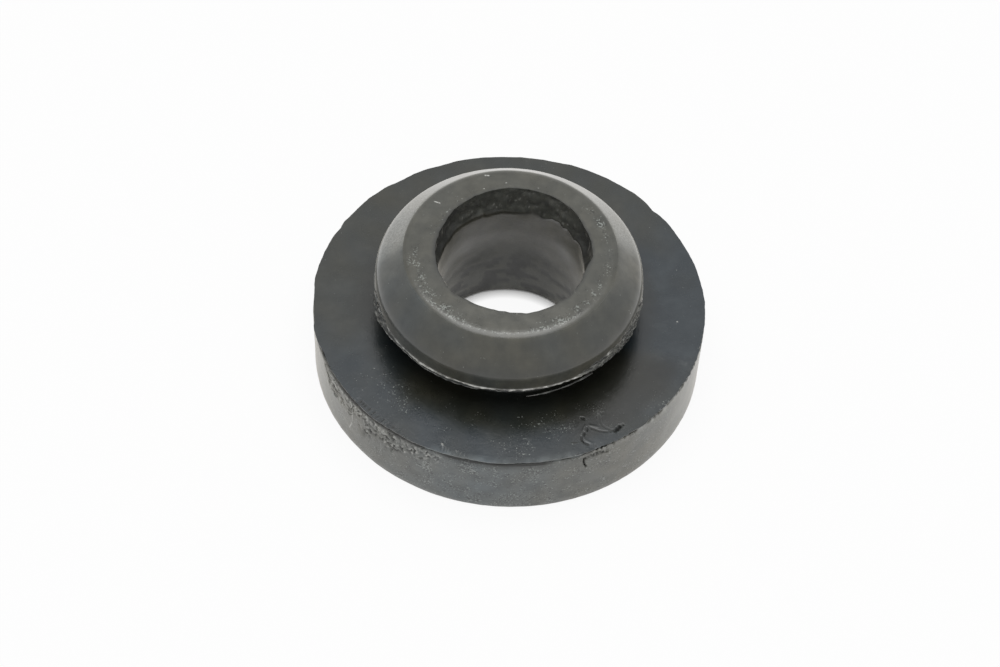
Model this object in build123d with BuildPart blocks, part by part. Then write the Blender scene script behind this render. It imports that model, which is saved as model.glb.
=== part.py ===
from build123d import *
import os
from math import atan2, cos, degrees, radians, sin, tan

# Radiator mount cushion: a grommet moulded in one piece from black rubber.
# A wide flange carries the load, a barbed head snaps through a hole in the
# bracket, and the radiator's pin stands in the bore. Lengths in mm, +Z along
# the bore, origin on the underside of the flange at the bore's axis.

# Flange
flange_radius = 20.0         # to the outermost point of the trimmed lip
flange_thickness = 7.8
flange_wall_inset = 0.15     # side wall under the lip, measured at the lip
flange_draft = 0.8           # degrees, the wall narrows towards the underside
flange_foot_chamfer = 0.3

# Flash left round the flange's upper edge and cut back by hand with a knife:
# a thin lip whose outline is a run of short, uneven, straight cuts
lip_thickness = 0.4
lip_unevenness = 0.13        # between the shallowest and the deepest cut
lip_cut_count = 67

# Bracket groove between the flange and the head, formed by a split ring in the mould
groove_width = 3.5
neck_radius = 11.0
neck_root_round = 0.6        # against the flange
neck_root_chamfer = 0.4      # against the head

# Barbed head
head_height = 8.5            # from the flange's upper face to the ring face
head_radius = 13.4
barb_depth = 2.3             # upright wall of the barb
cone_half_angle = 46.0       # degrees from the bore's axis
cone_root_round = 2.2        # where the cone meets the upright wall
shoulder_round = 1.2         # where the cone meets the ring face

# Flash where the split ring met the head: a fin round the barb's lower edge
flash_reach = 0.22
flash_thickness = 0.3

# Bore: a mouth cut out by hand in uneven facets, a waist that grips the pin,
# and a foot that widens so that the pin finds its way in
mouth_radius = 8.05
mouth_depth = 2.7
mouth_unevenness = 0.2
mouth_cut_count = 23
waist_radius = 7.2
waist_length = 3.0
foot_radius = 8.05
foot_chamfer = 0.3

# Unevenness of hand work, shared by the lip and the mouth
cut_rhythm = 0.618           # share of the full depth from one cut to the next
cut_wander = 0.35            # share of a cut's length that its end may shift by

# Levels and radii worked out from the sizes above
groove_top = flange_thickness + groove_width
total_height = flange_thickness + head_height
wall_top = groove_top + barb_depth
cone_top_radius = head_radius - (total_height - wall_top) * tan(radians(cone_half_angle))
waist_top = total_height - mouth_depth
waist_foot = waist_top - waist_length
mouth_taper = degrees(atan2(mouth_radius - waist_radius, mouth_depth))
wall_radius = flange_radius - flange_wall_inset
wall_foot_radius = wall_radius - flange_thickness * tan(radians(flange_draft))


def hand_cut_outline(radius, unevenness, cuts):
    """Corners of a ring cut by hand: straight cuts of uneven length and depth."""
    corners = []
    for index in range(cuts):
        reach = radius - unevenness * ((index * cut_rhythm) % 1.0)
        shift = cut_wander * ((index * cut_rhythm**2) % 1.0 - 0.5)
        angle = radians(360.0 * (index + shift) / cuts)
        corners.append((reach * cos(angle), reach * sin(angle)))
    return corners


def ring_edge(part, radius, level):
    """The circular edge of a turned part that has this radius at this level."""
    circles = part.edges().filter_by(GeomType.CIRCLE)
    return circles.sort_by(lambda ring: abs(ring.radius - radius) + abs(ring.center().Z - level))[0]


with BuildPart() as cushion:
    # Half section of the moulding, turned about the bore's axis
    with BuildSketch(Plane.XZ):
        with BuildLine():
            Polyline(
                (foot_radius, 0),
                (wall_foot_radius, 0),
                (wall_radius, flange_thickness),
                (neck_radius, flange_thickness),
                (neck_radius, groove_top),
                (head_radius + flash_reach, groove_top),
                (head_radius, groove_top + flash_thickness),
                (head_radius, wall_top),
                (cone_top_radius, total_height),
                (waist_radius, total_height),
                (waist_radius, waist_foot),
                close=True,
            )
        make_face()
    revolve(axis=Axis.Z)

    # Rounds and chamfers that the mould gives its corners
    fillet(ring_edge(cushion, cone_top_radius, total_height), shoulder_round)
    fillet(ring_edge(cushion, head_radius, wall_top), cone_root_round)
    fillet(ring_edge(cushion, neck_radius, flange_thickness), neck_root_round)
    chamfer(ring_edge(cushion, neck_radius, groove_top), neck_root_chamfer)
    chamfer(ring_edge(cushion, wall_foot_radius, 0), flange_foot_chamfer)
    chamfer(ring_edge(cushion, foot_radius, 0), foot_chamfer)

    # Mouth of the bore, pared back in facets that run out on the waist
    with BuildSketch(Plane.XY.offset(total_height)):
        with BuildLine():
            Polyline(hand_cut_outline(mouth_radius, mouth_unevenness, mouth_cut_count), close=True)
        make_face()
    extrude(amount=-mouth_depth, taper=mouth_taper, mode=Mode.SUBTRACT)

    # Knife-trimmed lip round the flange's upper edge
    with BuildSketch(Plane.XY.offset(flange_thickness)):
        with BuildLine():
            Polyline(hand_cut_outline(flange_radius, lip_unevenness, lip_cut_count), close=True)
        make_face()
        Circle((neck_radius + wall_radius) / 2, mode=Mode.SUBTRACT)
    extrude(amount=-lip_thickness)

cushion.part.label = "mount_cushion"
os.makedirs("parts", exist_ok=True)
export_step(cushion.part, "parts/mount_cushion.step")
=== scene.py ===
"""Looks of a one-piece rubber radiator mount cushion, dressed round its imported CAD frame.

The cushion is a single moulding, so it is one piece here too: the half section of the
CAD solid is spun again as a fine mesh, and its hand-trimmed lip, torn mouth, ragged
flash, cuts and scuffs are worked into that mesh. Lengths in the classes are millimetres
and angles are degrees from +X, anticlockwise seen from above.
"""

import logging
import math
import random
from bisect import bisect_right
from collections.abc import Callable
from dataclasses import dataclass, field
from enum import Enum
from functools import partial
from typing import Protocol

import bmesh
import bpy
from mathutils import Matrix, Vector, noise
from mathutils.geometry import intersect_point_line


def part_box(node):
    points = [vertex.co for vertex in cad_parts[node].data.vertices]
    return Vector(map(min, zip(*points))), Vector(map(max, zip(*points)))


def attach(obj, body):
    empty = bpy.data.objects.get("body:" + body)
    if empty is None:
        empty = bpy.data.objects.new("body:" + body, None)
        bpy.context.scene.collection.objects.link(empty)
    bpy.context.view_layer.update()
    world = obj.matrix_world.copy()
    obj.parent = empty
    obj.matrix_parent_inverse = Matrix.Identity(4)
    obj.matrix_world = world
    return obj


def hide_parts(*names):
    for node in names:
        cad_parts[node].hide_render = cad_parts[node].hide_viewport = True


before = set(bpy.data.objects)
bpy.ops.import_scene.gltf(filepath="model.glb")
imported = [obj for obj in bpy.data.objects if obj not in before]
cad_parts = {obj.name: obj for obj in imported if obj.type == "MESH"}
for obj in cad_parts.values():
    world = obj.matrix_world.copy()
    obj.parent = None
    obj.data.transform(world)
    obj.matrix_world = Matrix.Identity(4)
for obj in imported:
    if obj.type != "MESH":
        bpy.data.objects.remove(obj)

MM = 0.001
NODE = "mount_cushion"
# Marks kept on the mesh: bloom and pale also carry painted highlight, and grime also carries painted shade.
MARKS = ("bloom_and_highlight", "rough", "grime", "pale", "dust", "tone")
LOG = logging.getLogger("cushion")


def linear(hex_colour: str) -> tuple[float, float, float, float]:
    """Turns an sRGB hex colour into Blender's linear colour.

    Args:
        hex_colour: the colour as "#rrggbb".

    Returns:
        Linear red, green, blue and an alpha of 1.
    """
    channels = [int(hex_colour[place:place + 2], 16) / 255 for place in (1, 3, 5)]
    curve = [c / 12.92 if c <= 0.04045 else ((c + 0.055) / 1.055) ** 2.4 for c in channels]
    return (curve[0], curve[1], curve[2], 1.0)


def add_node(
    tree: bpy.types.NodeTree,
    kind: str,
    inputs: dict[str | int, object] | None = None,
    **settings: object,
) -> bpy.types.Node:
    """Adds a node to a tree, with its settings and links.

    Args:
        tree: the node tree.
        kind: Blender's name for the node's type.
        inputs: a value or an output socket for each input that isn't left alone.
        settings: the node's own properties.

    Returns:
        The new node.
    """
    node = tree.nodes.new(kind)
    for name, value in settings.items():
        setattr(node, name, value)
    for socket, value in (inputs or {}).items():
        if isinstance(value, bpy.types.NodeSocket):
            tree.links.new(value, node.inputs[socket])
        else:
            node.inputs[socket].default_value = value
    return node


def ease(low: float, high: float, value: float) -> float:
    """Eases from 0 at low to 1 at high, whichever of them is larger."""
    share = min(1.0, max(0.0, (value - low) / (high - low)))
    return share * share * (3.0 - 2.0 * share)


def fade(full: float, gone: float, value: float) -> float:
    """Eases from 1 at full to 0 at gone, whichever of them is larger."""
    return 1.0 - ease(full, gone, value)


class Zone(Enum):
    """Faces of the moulding that wear and look alike.

    The ring is the head's flat top round the mouth, and the skirt is the film of flash
    that hangs below the barb.
    """

    BORE = "bore"
    MOUTH = "mouth"
    RING = "ring"
    CONE = "cone"
    BARB = "barb"
    SKIRT = "skirt"
    NECK = "neck"
    TOP = "top"
    LIP = "lip"
    WALL = "wall"
    UNDERSIDE = "underside"


@dataclass(frozen=True)
class Stretch:
    """A stretch of the ring between two angles, with a soft margin outside each."""

    start: float
    end: float
    soft: float

    def at(self, azimuth: float) -> float:
        """Tells how much an angle belongs to the stretch.

        Args:
            azimuth: the angle.

        Returns:
            1 inside the stretch, easing to 0 over its soft margins.
        """
        middle, half = (self.start + self.end) / 2, (self.end - self.start) / 2
        away = abs((azimuth - middle + 180.0) % 360.0 - 180.0)
        return fade(half, half + self.soft, away)


@dataclass(frozen=True)
class Contour:
    """A value that changes evenly from point to point round the ring."""

    points: tuple[tuple[float, float], ...]

    def at(self, azimuth: float) -> float:
        """Gives the value at an angle.

        Args:
            azimuth: the angle, from 0 to 360.

        Returns:
            The value between the two points that the angle lies between.
        """
        after = bisect_right([point[0] for point in self.points], azimuth) % len(self.points)
        start, low = self.points[after - 1]
        end, high = self.points[after]
        return low + (high - low) * ((azimuth - start) % 360.0) / ((end - start) % 360.0)


@dataclass
class Place:
    """A point of the moulding, with the shift and the marks that the work gives it.

    The marks are the film of bloom, how rough the skin is, grime, pale scrapes, how
    thickly dust lies, and the tone from bluish (-1) to brownish (1). Bloom and pale
    scrapes also carry a painted highlight on the cone, and grime also carries painted
    shade in cuts, cracks, hollows and under the head. A noise is read with the size of
    its lumps in mm and a seed that keeps it apart from the others, and the factor
    before it is its height in mm, or its weight in a mark.
    """

    azimuth: float
    radius: float
    level: float
    zone: Zone
    outward: float = 0.0
    upward: float = 0.0
    bloom_and_highlight: float = 0.0
    rough: float = 0.0
    grime: float = 0.0
    pale: float = 0.0
    dust: float = 0.0
    tone: float = 0.0
    spot: Vector = field(init=False)

    def __post_init__(self) -> None:
        """Works out the point in mm once, for the noises."""
        turn = math.radians(self.azimuth)
        self.spot = Vector((self.radius * math.cos(turn), self.radius * math.sin(turn), self.level))

    def on(self, *stretches: Stretch) -> float:
        """Tells how much the place belongs to any of some stretches, from 0 to 1."""
        return max(stretch.at(self.azimuth) for stretch in stretches)

    def grain(self, size: float, seed: float) -> float:
        """Reads smooth noise, about -1 to 1, with lumps of a size in mm."""
        return noise.noise(self.spot / size + Vector((seed, seed * 0.7, -seed)))

    def crumbs(self, size: float, seed: float) -> float:
        """Reads crumbly noise, about -0.5 to 0.5, whose lumps meet in sharp valleys."""
        distances, _ = noise.voronoi(self.spot / size + Vector((seed, -seed, seed * 0.4)))
        return 0.5 - distances[0]

    def streak(self, size: float, seed: float) -> float:
        """Reads noise, about -1 to 1, in streaks that run round the ring."""
        run = math.radians(self.azimuth) * self.radius / (4.0 * size)
        return noise.noise(Vector((run, self.level / size, seed)))

    def darken(self, *amounts: float) -> None:
        """Darkens with grime and painted shade, where it isn't darker already."""
        self.grime = max(self.grime, *amounts)

    def lighten(self, *amounts: float) -> None:
        """Lightens the skin with pale scrapes and painted highlight, where it isn't paler already."""
        self.pale = max(self.pale, *amounts)

    def roughen(self, amount: float) -> None:
        """Roughens the skin, where it isn't rougher already."""
        self.rough = max(self.rough, amount)


class Work(Protocol):
    """Anything done to the moulding by its mould, a knife or wear."""

    def shape(self, place: Place) -> None:
        """Shifts and marks one place."""


@dataclass
class KnifeRound:
    """A ring trimmed by hand: straight knife cuts of uneven length and depth."""

    radius: float
    shortest: float
    longest: float
    depth: float
    seed: int
    angles: list[float] = field(init=False, default_factory=list)
    reaches: list[float] = field(init=False, default_factory=list)

    def __post_init__(self) -> None:
        """Sets out the corners of the cuts round the whole ring."""
        rng = random.Random(self.seed)
        angle = 0.0
        while angle < 360.0:
            self.angles.append(angle)
            self.reaches.append(self.radius + self.depth * (rng.random() - 0.5))
            angle += math.degrees(rng.uniform(self.shortest, self.longest) / self.radius)
        self.angles.append(360.0)
        self.reaches.append(self.reaches[0])

    def shift(self, azimuth: float) -> float:
        """Measures the cut at an angle.

        Args:
            azimuth: the angle, from 0 to 360.

        Returns:
            How far the straight cut lies outside the plain round.
        """
        cut = min(max(bisect_right(self.angles, azimuth) - 1, 0), len(self.angles) - 2)
        near, far = self.reaches[cut], self.reaches[cut + 1]
        start = math.radians(azimuth - self.angles[cut])
        end = math.radians(self.angles[cut + 1] - azimuth)
        chord = near * math.sin(start) + far * math.sin(end)
        return near * far * math.sin(start + end) / chord - self.radius


@dataclass(frozen=True)
class Corner:
    """A corner of the half section, and how the run that follows it is divided.

    A crisp corner keeps its edge in the shading. The others are shaded smooth.
    """

    radius: float
    level: float
    pitch: float
    rounding: float = 0.0
    steps: int = 0
    crisp: bool = False


@dataclass
class Section:
    """The half section of the moulding, in mm from the flange's underside."""

    flange_radius: float
    height: float
    flange_thickness: float = 7.8
    wall_inset: float = 0.15
    wall_foot_inset: float = 0.26
    foot_chamfer: float = 0.3
    brink_height: float = 0.22
    brink_round: float = 0.05
    lip_thickness: float = 0.4
    lip_slope: float = 0.04
    lip_crack_height: float = 0.22
    lip_crack_depth: float = 0.24
    lip_crack_rise: float = 0.02
    groove_width: float = 3.5
    groove_root_drop: float = 0.25
    groove_root_round: float = 0.4
    neck_radius: float = 11.0
    neck_round: float = 0.6
    head_radius: float = 13.4
    film_root_inset: float = 0.35
    film_root_drop: float = 0.15
    barb_depth: float = 2.3
    cone_half_angle: float = 46.0
    cone_root_round: float = 2.2
    shoulder_round: float = 1.05
    flash_reach: float = 0.2
    flash_thickness: float = 0.07
    flash_edge: tuple[float, float] = (0.01, 0.03)
    film_drop: float = 1.0
    film_thickness: float = 0.12
    mouth_radius: float = 7.9
    mouth_depth: float = 2.6
    waist_radius: float = 7.25
    waist_length: float = 3.0
    foot_radius: float = 8.05

    @property
    def wall_radius(self) -> float:
        """Radius of the side wall right under the lip."""
        return self.flange_radius - self.wall_inset

    @property
    def lip_foot(self) -> float:
        """Level of the lip's lower edge."""
        return self.flange_thickness - self.lip_thickness

    @property
    def barb_foot(self) -> float:
        """Level of the barb's lower edge, which is the top of the groove."""
        return self.flange_thickness + self.groove_width

    @property
    def barb_top(self) -> float:
        """Level where the upright wall of the barb ends and its cone starts."""
        return self.barb_foot + self.barb_depth

    @property
    def waist_top(self) -> float:
        """Level where the torn mouth of the bore ends on the waist."""
        return self.height - self.mouth_depth

    @property
    def cone_top_radius(self) -> float:
        """Radius at which the cone would meet the ring face without its round."""
        return self.head_radius - (self.height - self.barb_top) * math.tan(math.radians(self.cone_half_angle))

    def corners(self) -> list[Corner]:
        """Lists the section's corners.

        Returns:
            The corners in order, anticlockwise from the foot of the bore.
        """
        film_foot = self.barb_foot - self.film_drop
        fin_reach = self.head_radius + self.flash_reach
        fin_top = self.barb_foot + self.flash_thickness
        lip_edge = self.lip_foot + self.lip_crack_height
        crack = self.lip_foot + self.lip_crack_rise
        # Radius, level, pitch along the run that follows, and the corner's round and its steps.
        return [
            Corner(self.foot_radius, 0.0, 3.0, self.foot_chamfer, 1),
            Corner(self.flange_radius - self.wall_foot_inset, 0.0, 0.6, self.foot_chamfer, 2),
            Corner(self.wall_radius, self.lip_foot - self.brink_height, 0.1),
            Corner(self.wall_radius, self.lip_foot, 0.1, self.brink_round, 1),
            Corner(self.wall_radius - self.lip_crack_depth, crack, 0.1),
            Corner(self.flange_radius - self.lip_slope, lip_edge, 0.08, crisp=True),
            Corner(self.flange_radius, self.flange_thickness, 0.9, crisp=True),
            Corner(self.neck_radius, self.flange_thickness, 1.0, self.neck_round, 3),
            Corner(self.neck_radius, self.barb_foot - self.groove_root_drop, 0.8, self.groove_root_round, 2),
            Corner(self.head_radius - self.film_root_inset, self.barb_foot - self.film_root_drop, 0.6),
            Corner(self.head_radius - self.film_thickness, film_foot, 0.2, crisp=True),
            Corner(self.head_radius, film_foot, 0.14, crisp=True),
            Corner(self.head_radius, self.barb_foot, 0.06),
            Corner(fin_reach, self.barb_foot + self.flash_edge[0], 0.03),
            Corner(fin_reach, self.barb_foot + self.flash_edge[1], 0.06),
            Corner(self.head_radius, fin_top, 0.17),
            Corner(self.head_radius, self.barb_top, 0.36, self.cone_root_round, 5),
            Corner(self.cone_top_radius, self.height, 0.4, self.shoulder_round, 7),
            Corner(self.mouth_radius, self.height, 0.18, crisp=True),
            Corner(self.waist_radius, self.waist_top, 0.4),
            Corner(self.waist_radius, self.waist_top - self.waist_length, 0.55),
        ]

    def zone(self, radius: float, level: float) -> Zone:
        """Names the face that a point of the untouched section lies on.

        Args:
            radius: the point's radius.
            level: its level.

        Returns:
            The face. The small margins give each round to one of its neighbours.
        """
        if radius < self.mouth_radius + 0.2 and level < self.waist_top + 0.01:
            return Zone.BORE
        if radius < self.mouth_radius + 0.01 and level > self.waist_top:
            return Zone.MOUTH
        if level > self.height - 0.12:
            return Zone.RING
        if level > self.barb_top - 0.6:
            return Zone.CONE
        if level > self.barb_foot + 0.005:
            return Zone.BARB
        if level > self.flange_thickness + 0.7:
            return Zone.SKIRT if radius > self.head_radius - 0.2 else Zone.NECK
        if level > self.flange_thickness - 0.03:
            return Zone.TOP
        if level > self.lip_foot + 0.005:
            return Zone.LIP
        return Zone.WALL if radius > self.wall_radius - 0.5 else Zone.UNDERSIDE


@dataclass
class HeadSkin:
    """The head's outside: it sits a hair off centre, with grain worn at its edges and painted highlight on
    its cone.
    """

    section: Section
    shift: tuple[float, float] = (-0.17, -0.1)
    sunk: float = 0.05
    worn_edge_inset: float = 0.28
    grit_radius: float = 9.7
    front: Stretch = Stretch(224.0, 302.0, 22.0)
    highlit_back: Stretch = Stretch(4.0, 176.0, 30.0)
    highlit_flanks: tuple[Stretch, ...] = (Stretch(18.0, 52.0, 14.0), Stretch(128.0, 172.0, 14.0))
    bluish: Stretch = Stretch(168.0, 214.0, 25.0)
    filmed_barb: Stretch = Stretch(282.0, 322.0, 12.0)
    clean_barb: Stretch = Stretch(180.0, 208.0, 14.0)
    gritty_sides: tuple[Stretch, ...] = (Stretch(290.0, 392.0, 14.0), Stretch(188.0, 240.0, 12.0))
    gritty_brink: Stretch = Stretch(126.0, 168.0, 10.0)

    def shape(self, place: Place) -> None:
        """Moves the head over and marks its skin.

        Args:
            place: the place that is worked.
        """
        section = self.section
        if place.zone not in (Zone.RING, Zone.CONE, Zone.BARB, Zone.SKIRT):
            return
        hold = ease(section.mouth_radius, section.cone_top_radius, place.radius)
        turn = math.radians(place.azimuth)
        place.outward += hold * (self.shift[0] * math.cos(turn) + self.shift[1] * math.sin(turn))
        place.outward += 0.03 * hold * place.grain(5.0, 71.0)
        place.upward += 0.02 * place.grain(4.0, 72.0) - self.sunk
        edge = place.on(self.front)
        rubbed = fade(0.06, 0.3, abs(place.radius - section.cone_top_radius + self.worn_edge_inset))
        place.dust = 0.05 + 0.75 * self._grit(place) + 0.8 * edge * rubbed
        place.tone = 0.65 - 0.6 * place.on(self.bluish) + 0.5 * place.grain(2.8, 74.0)
        uneven = 1.0 + 0.4 * place.grain(2.2, 75.0) + 0.2 * place.grain(0.8, 76.0)
        if place.zone is Zone.RING:
            place.bloom_and_highlight, place.rough = 0.36 * uneven, 0.32
            place.tone = 0.7 + 0.3 * place.grain(2.8, 74.0)
        elif place.zone is Zone.CONE:
            high = ease(section.height - 0.5, section.height - 0.12, place.level)
            # The cone's back and flanks take more bloom, and its flanks a pale wash, as a painted highlight
            # on their grazing reflection; the back is also made glossier.
            highlit_back, highlit_flank = place.on(self.highlit_back), place.on(*self.highlit_flanks)
            place.bloom_and_highlight = (0.24 + 0.12 * high + 0.45 * highlit_back + highlit_flank) * uneven
            place.rough = 0.05 - 0.2 * highlit_back + 0.27 * high * (1.0 - 0.8 * highlit_back)
            place.pale = 0.3 * highlit_flank
        else:
            filmed, clean = place.on(self.filmed_barb), place.on(self.clean_barb)
            place.bloom_and_highlight = (0.28 + 0.15 * filmed - 0.2 * clean) * uneven
            place.rough = 0.2
        # Pale wear along the shoulder's edge, laid only at the front where the lamp's highlight falls, so it
        # is partly a painted highlight.
        place.lighten(0.22 * edge * rubbed * (0.6 + 0.8 * place.grain(0.4, 73.0)))

    def _grit(self, place: Place) -> float:
        """Finds how thickly grit lies in the grain of the ring face.

        Args:
            place: the place that is worked.

        Returns:
            The thickness, 0 off the ring face and about 1 where it is thick.
        """
        if place.zone is not Zone.RING:
            return 0.0
        sides = place.on(*self.gritty_sides) * fade(0.25, 0.9, abs(place.radius - self.grit_radius))
        brink = place.on(self.gritty_brink) * fade(8.2, 8.9, place.radius)
        return max(sides, 0.8 * brink) * (1.0 + place.grain(0.9, 77.0))


@dataclass
class PartingFlash:
    """Thin rubber that crept between the mould's parts, round the barb's lower edge.

    It stands out as a thin fin all round, and hangs below the barb as a torn film on
    both sides.
    """

    section: Section
    film: Contour = Contour((
        (188.0, 0.05), (192.0, 0.4), (198.5, 1.05), (206.5, 0.75), (214.0, 0.5), (219.0, 0.3), (224.0, 0.35),
        (230.0, 0.45), (258.0, 0.4), (263.0, 0.04), (302.0, 0.06), (308.0, 0.25), (320.0, 0.3), (330.0, 0.45),
        (338.0, 0.6), (345.0, 0.5), (350.0, 0.05),
    ))
    flare: Contour = Contour((
        (188.0, 0.0), (193.0, 0.3), (206.0, 0.28), (224.0, 0.08), (258.0, 0.08), (300.0, 0.0), (312.0, 0.1),
        (340.0, 0.12), (352.0, 0.0),
    ))
    torn_height: Contour = Contour((
        (188.0, 0.0), (193.0, 1.2), (200.0, 0.9), (206.0, 0.3), (214.0, 0.1), (224.0, 0.0), (300.0, 0.0),
        (306.0, 0.6), (320.0, 0.9), (335.0, 1.3), (349.0, 1.5), (353.0, 0.0),
    ))
    rags: tuple[Stretch, ...] = (Stretch(307.0, 346.0, 4.0), Stretch(190.0, 203.0, 6.0))
    front: Stretch = Stretch(205.0, 320.0, 20.0)
    nub: Stretch = Stretch(266.6, 268.0, 0.6)
    shortest_film: float = 0.03
    shortest_fin: float = 0.12

    def shape(self, place: Place) -> None:
        """Gives the fin its ragged reach and the hanging film its torn length.

        Args:
            place: the place that is worked.
        """
        if place.zone is Zone.SKIRT:
            self._hang(place)
        elif place.zone is Zone.BARB:
            self._fin(place)
            self._tear(place)

    def _hang(self, place: Place) -> None:
        """Pulls the film to its torn length.

        Args:
            place: a place on the skirt.
        """
        section = self.section
        share = (section.barb_foot - place.level) / section.film_drop
        if share <= 0.0:
            return
        rags = place.on(*self.rags)
        length = self.film.at(place.azimuth)
        ragged = min(1.0, 2.5 * length) * (0.35 + 0.65 * rags)
        length += ragged * (0.3 * place.grain(0.55, 12.0) + 0.2 * place.grain(0.24, 13.0))
        length = max(self.shortest_film, length)
        place.upward += (1.0 - length) * share * section.film_drop
        place.outward += share * self.flare.at(place.azimuth)
        frayed = 0.2 * place.streak(0.16, 21.0) + 0.1 * place.grain(0.3, 22.0)
        place.outward += rags * min(1.0, 3.0 * share) * frayed
        place.rough, place.bloom_and_highlight, place.tone = 1.0, 0.1 + 0.3 * place.streak(0.2, 25.0), 0.0
        rim = ease(0.7, 0.95, share) * min(1.0, 3.0 * self.film.at(place.azimuth))
        place.lighten(rim * (0.4 + 1.1 * place.grain(0.5, 23.0)), rags * 1.4 * place.streak(0.14, 24.0))
        dark = rags * (0.55 + 2.4 * place.streak(0.2, 26.0))
        place.darken(0.7 * (1.0 - rim) * (1.0 - rags), min(1.0, dark))

    def _fin(self, place: Place) -> None:
        """Gives the fin its uneven reach, with a nub at the front.

        Args:
            place: a place on the barb.
        """
        section = self.section
        reach = (place.radius - section.head_radius) / section.flash_reach
        if reach < 0.02:
            return
        ragged = 0.75 + 0.5 * place.grain(1.7, 5.0) + 0.5 * place.grain(0.4, 6.0)
        ragged += 0.9 * place.on(self.nub)
        ragged *= 0.5 + 0.5 * place.on(self.front)
        ragged *= 1.0 - 0.85 * place.on(*self.rags)
        place.outward += (max(self.shortest_fin, ragged) - 1.0) * reach * section.flash_reach
        place.upward += 0.04 * reach * place.grain(1.0, 7.0)
        place.bloom_and_highlight, place.rough = 1.0, 0.1
        place.lighten(ragged * (0.6 + 1.5 * place.grain(0.55, 8.0)))
        place.darken(-1.6 * place.grain(0.55, 8.0) - 0.1)

    def _tear(self, place: Place) -> None:
        """Roughens the torn stretch of the barb's wall above the film.

        Args:
            place: a place on the barb.
        """
        top = self.section.barb_foot + self.torn_height.at(place.azimuth) + 0.35 * place.grain(0.6, 41.0)
        torn = fade(top - 0.12, top, place.level)
        torn *= min(1.0, 3.0 * self.torn_height.at(place.azimuth))
        if torn <= 0.0:
            return
        place.outward += torn * (0.22 * place.streak(0.2, 15.0) + 0.15 * place.crumbs(0.3, 16.0))
        place.roughen(torn)
        place.tone -= 0.4 * torn
        place.bloom_and_highlight += torn * (0.1 + 0.7 * place.streak(0.25, 17.0))
        place.lighten(torn * 1.8 * place.streak(0.17, 18.0))
        place.darken(min(1.0, torn * (0.45 + 2.4 * place.streak(0.22, 19.0))))


@dataclass
class TornMouth:
    """The mouth of the bore, cut out by hand in facets that run out on the waist."""

    section: Section
    rim: Contour = Contour((
        (0.0, 7.98), (25.0, 7.87), (42.0, 8.1), (58.0, 8.2), (94.0, 8.14), (138.0, 7.77), (155.0, 7.55),
        (170.0, 7.56), (185.0, 7.7), (199.0, 7.7), (227.0, 8.05), (236.0, 7.8), (267.0, 7.77), (284.0, 8.06),
        (299.0, 8.0), (309.0, 7.85), (318.0, 8.03), (328.0, 7.75), (341.0, 7.58), (349.0, 7.66), (355.0, 7.9),
    ))
    hollow_sides: tuple[Stretch, ...] = (Stretch(146.0, 200.0, 14.0), Stretch(335.0, 385.0, 14.0))
    low_sides: tuple[Stretch, ...] = (Stretch(350.0, 370.0, 14.0), Stretch(158.0, 178.0, 12.0))
    fringed: Stretch = Stretch(338.0, 382.0, 12.0)
    fringe: float = 0.45
    run_out: float = 1.2
    nicks: KnifeRound = field(init=False)
    foot: KnifeRound = field(init=False)

    def __post_init__(self) -> None:
        """Sets out the small cuts of the rim and of the band's lower edge."""
        self.nicks = KnifeRound(self.section.mouth_radius, shortest=0.35, longest=1.2, depth=0.1, seed=4)
        self.foot = KnifeRound(self.section.waist_radius, shortest=0.35, longest=1.3, depth=0.7, seed=21)

    def shape(self, place: Place) -> None:
        """Moves the rim to the knife's line and breaks the band into torn facets.

        Args:
            place: the place that is worked.
        """
        section = self.section
        if place.zone is Zone.RING:
            near = fade(section.mouth_radius, section.mouth_radius + 1.0, place.radius)
            place.outward += near * self._shift(place)
            brink = fade(0.0, 0.3, place.radius - section.mouth_radius)
            place.upward -= 0.02 * brink * (1.0 + place.grain(0.35, 55.0))
        elif place.zone is Zone.MOUTH:
            self._tear(place)
        elif place.zone is Zone.BORE and place.level > section.waist_top - self.run_out:
            near = ease(section.waist_top - self.run_out, section.waist_top, place.level)
            place.upward += near * self._ragged(place)
            right = place.on(self.fringed)
            dark = ease(section.waist_top - self.fringe - 0.9 * right, section.waist_top, place.level)
            place.darken(0.75 * dark)
            place.roughen(0.4 + 0.5 * right)

    def _shift(self, place: Place) -> float:
        """Gives how far the rim lies from its plain round."""
        return self.rim.at(place.azimuth) - self.section.mouth_radius + self.nicks.shift(place.azimuth)

    def _ragged(self, place: Place) -> float:
        """Gives how far the band's lower edge lies from its plain level."""
        low = place.on(*self.low_sides)
        return self.foot.shift(place.azimuth) + 0.25 * place.grain(2.5, 57.0) - 0.5 * low

    def _tear(self, place: Place) -> None:
        """Breaks the band into rough facets, with painted shade on its hollow sides.

        Args:
            place: a place on the mouth's band.
        """
        section = self.section
        down = (section.height - place.level) / section.mouth_depth
        place.upward -= 0.05 * (1.0 - down)
        place.outward += self._shift(place) * (1.0 - down)
        place.upward += down * down * self._ragged(place)
        inside = ease(0.0, 0.1, down) * fade(0.7, 1.0, down)
        sides = place.on(*self.hollow_sides)
        facets = 0.17 * place.grain(1.4, 51.0) + 0.11 * place.grain(0.6, 52.0)
        facets += 0.07 * place.grain(0.26, 53.0)
        place.outward += inside * (facets + 0.06 + 0.36 * sides)
        place.upward += inside * 0.14 * place.grain(0.8, 54.0)
        place.rough, place.bloom_and_highlight, place.tone = 1.0, 0.06 + 0.2 * place.grain(0.4, 58.0), 0.8
        # The torn band has dark patches of its own, and is darker on its hollow sides under the rim as
        # painted shade.
        place.darken(min(1.0, 0.2 + 0.7 * sides + 0.8 * place.grain(0.5, 59.0)))
        place.lighten(0.9 * place.grain(0.22, 60.0) - 0.36 - 0.2 * sides)
        place.dust = 0.05


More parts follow.
